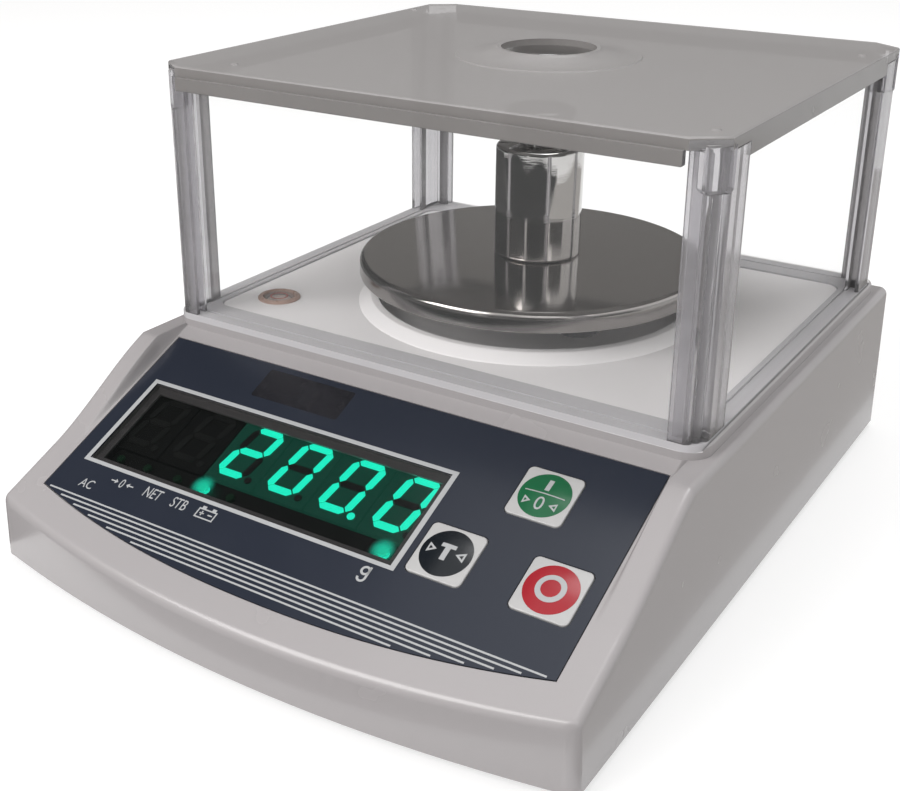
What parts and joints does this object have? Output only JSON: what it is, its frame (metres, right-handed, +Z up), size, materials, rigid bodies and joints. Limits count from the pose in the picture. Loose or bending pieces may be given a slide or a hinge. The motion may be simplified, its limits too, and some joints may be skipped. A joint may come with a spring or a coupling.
{
  "type": "laboratory balance",
  "caption": "Top-loading laboratory balance with sloping keypad console, round pan, lift-off clear draught shield with charging hole, and a knob weight on the pan.",
  "frame": {"origin": "on the bench, under the middle of the footprint", "axes": "+X right and +Y back as the user faces the console, +Z up; the console faces -Y"},
  "size_m": [0.186, 0.24, 0.1371],
  "materials": {
    "casing": "fine matt moulded light grey-white plastic",
    "dark_plastic": "moulded black plastic",
    "film_navy": "printed polyester film, navy with pale stripes",
    "smoked_clear": "smoked clear window",
    "key_green": "printed key face with a green disc",
    "key_blue": "printed key face with a navy disc",
    "key_red": "printed key face with a red disc",
    "circuit": "green circuit board",
    "display_glow": "bright green lit segments on a dark module",
    "level_ring": "brown moulded ring",
    "level_fluid": "tinted level fluid",
    "clear_plastic": "clear polished acrylic",
    "aluminium": "bare machined aluminium",
    "steel": "fine brushed stainless steel",
    "plated_steel": "bright plated steel screws",
    "weight_chrome": "polished plated weight with fine scratches",
    "rubber": "black rubber"
  },
  "bodies": {
    "housing": {"upper_housing": "casing", "lower_housing": "casing", "housing_screw_front_left": "plated_steel", "housing_screw_front_right": "plated_steel", "housing_screw_rear_left": "plated_steel", "housing_screw_rear_right": "plated_steel", "power_socket": "dark_plastic", "console_film": "film_navy", "display_window": "smoked_clear", "display_board": "circuit", "digit_1": "display_glow", "digit_2": "display_glow", "digit_3": "display_glow", "digit_4": "display_glow", "digit_5": "display_glow", "digit_6": "display_glow", "level_holder": "level_ring", "level_vial": "clear_plastic", "level_liquid": "level_fluid", "load_cell": "aluminium", "load_cell_base": "steel", "load_cell_screw_1": "plated_steel", "load_cell_screw_2": "plated_steel", "overload_stop": "plated_steel", "main_board": "circuit"},
    "key_zero": {"key_zero": "key_green"},
    "key_tare": {"key_tare": "key_blue"},
    "key_off": {"key_off": "key_red"},
    "carrier": {"carrier_bracket": "aluminium", "bracket_screw_1": "plated_steel", "bracket_screw_2": "plated_steel", "pan_carrier": "dark_plastic", "carrier_pad_1": "rubber", "carrier_pad_2": "rubber", "carrier_pad_3": "rubber", "carrier_pad_4": "rubber"},
    "pan": {"pan": "steel"},
    "weight": {"knob_weight": "weight_chrome"},
    "shield": {"shield_base": "clear_plastic", "shield_post_front_left": "clear_plastic", "shield_post_front_right": "clear_plastic", "shield_post_rear_left": "clear_plastic", "shield_post_rear_right": "clear_plastic", "shield_panel_front": "clear_plastic", "shield_panel_rear": "clear_plastic", "shield_panel_left": "clear_plastic", "shield_panel_right": "clear_plastic"},
    "lid": {"shield_lid": "clear_plastic"},
    "battery_tray": {"battery_door": "casing", "battery_pack": "dark_plastic"},
    "foot_front_left": {"foot_pad_front_left": "rubber"},
    "foot_front_right": {"foot_pad_front_right": "rubber"},
    "foot_rear_left": {"foot_pad_rear_left": "rubber"},
    "foot_rear_right": {"foot_pad_rear_right": "rubber"},
    "screw_front_left": {"foot_screw_front_left": "dark_plastic"},
    "screw_front_right": {"foot_screw_front_right": "dark_plastic"},
    "screw_rear_left": {"foot_screw_rear_left": "dark_plastic"},
    "screw_rear_right": {"foot_screw_rear_right": "dark_plastic"}
  },
  "joints": [
    {"name": "key_zero_press", "type": "slide", "parent": "housing", "child": "key_zero", "axis": [0, 0.3987, -0.9171], "range_m": [0, 0.0005], "stiffness_N_per_m": 250, "springref_m": -0.001},
    {"name": "key_tare_press", "type": "slide", "parent": "housing", "child": "key_tare", "axis": [0, 0.3987, -0.9171], "range_m": [0, 0.0005], "stiffness_N_per_m": 250, "springref_m": -0.001},
    {"name": "key_off_press", "type": "slide", "parent": "housing", "child": "key_off", "axis": [0, 0.3987, -0.9171], "range_m": [0, 0.0005], "stiffness_N_per_m": 250, "springref_m": -0.001},
    {"name": "load_deflection", "type": "slide", "parent": "housing", "child": "carrier", "axis": [0, 0, -1], "range_m": [0, 0.0003], "stiffness_N_per_m": 39000, "springref_m": -0.0003},
    {"name": "pan_lift", "type": "slide", "parent": "carrier", "child": "pan", "axis": [0, 0, 1], "range_m": [0, 0.0062]},
    {"name": "weight_lift", "type": "slide", "parent": "pan", "child": "weight", "axis": [0, 0, 1], "range_m": [0, 0.0062]},
    {"name": "shield_lift", "type": "slide", "parent": "housing", "child": "shield", "axis": [0, 0, 1], "range_m": [0, 0.09]},
    {"name": "lid_lift", "type": "slide", "parent": "shield", "child": "lid", "axis": [0, 0, 1], "range_m": [0, 0.03]},
    {"name": "battery_door_drop", "type": "slide", "parent": "housing", "child": "battery_tray", "axis": [0, 0, -1], "range_m": [0, 0.04]},
    {"name": "foot_front_left_level", "type": "slide", "parent": "housing", "child": "foot_front_left", "axis": [0, 0, -1], "range_m": [0, 0.003]},
    {"name": "foot_front_right_level", "type": "slide", "parent": "housing", "child": "foot_front_right", "axis": [0, 0, -1], "range_m": [0, 0.003]},
    {"name": "foot_rear_left_level", "type": "slide", "parent": "housing", "child": "foot_rear_left", "axis": [0, 0, -1], "range_m": [0, 0.003]},
    {"name": "foot_rear_right_level", "type": "slide", "parent": "housing", "child": "foot_rear_right", "axis": [0, 0, -1], "range_m": [0, 0.003]},
    {"name": "foot_front_left_turn", "type": "hinge", "parent": "foot_front_left", "child": "screw_front_left", "pos_m": [-0.074, -0.09, 0.005], "axis": [0, 0, -1], "range_deg": [0, 1080]},
    {"name": "foot_front_right_turn", "type": "hinge", "parent": "foot_front_right", "child": "screw_front_right", "pos_m": [0.074, -0.09, 0.005], "axis": [0, 0, -1], "range_deg": [0, 1080]},
    {"name": "foot_rear_left_turn", "type": "hinge", "parent": "foot_rear_left", "child": "screw_rear_left", "pos_m": [-0.074, 0.1, 0.005], "axis": [0, 0, -1], "range_deg": [0, 1080]},
    {"name": "foot_rear_right_turn", "type": "hinge", "parent": "foot_rear_right", "child": "screw_rear_right", "pos_m": [0.074, 0.1, 0.005], "axis": [0, 0, -1], "range_deg": [0, 1080]}
  ],
  "couplings": [
    {"joint": "foot_front_left_turn", "follows": "foot_front_left_level", "rad_per_m": 6283.2},
    {"joint": "foot_front_right_turn", "follows": "foot_front_right_level", "rad_per_m": 6283.2},
    {"joint": "foot_rear_left_turn", "follows": "foot_rear_left_level", "rad_per_m": 6283.2},
    {"joint": "foot_rear_right_turn", "follows": "foot_rear_right_level", "rad_per_m": 6283.2}
  ]
}
